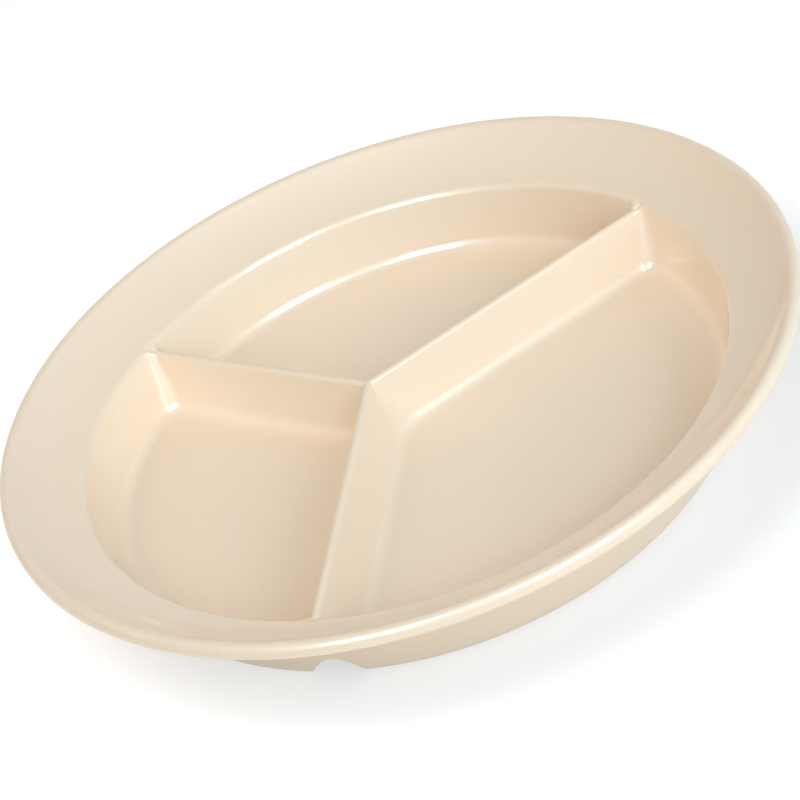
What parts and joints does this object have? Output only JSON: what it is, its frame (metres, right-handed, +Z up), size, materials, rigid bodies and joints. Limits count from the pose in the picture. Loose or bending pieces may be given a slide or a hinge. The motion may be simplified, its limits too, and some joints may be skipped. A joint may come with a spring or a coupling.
{
  "type": "divided plate",
  "caption": "Round deep melamine plate with a concave flange, a rounded lip and hollow dividers that part the well into a large compartment and equal smaller ones.",
  "frame": {"origin": "on the table, under the centre of the round rim", "axes": "+Z up along the rim's axis, +Y along the stem divider between the two smaller compartments, -Y to the large compartment, +X to the right of the stem seen from the large compartment"},
  "size_m": [0.259, 0.259, 0.038],
  "materials": {
    "melamine": "gloss"
  },
  "bodies": {
    "root": {"rim_lip": "melamine", "flange": "melamine", "well_wall": "melamine", "floor_main": "melamine", "floor_left": "melamine", "floor_right": "melamine", "divider_stem": "melamine", "divider_left": "melamine", "divider_right": "melamine", "divider_hub": "melamine", "foot_main": "melamine", "foot_left": "melamine", "foot_right": "melamine"}
  },
  "joints": []
}
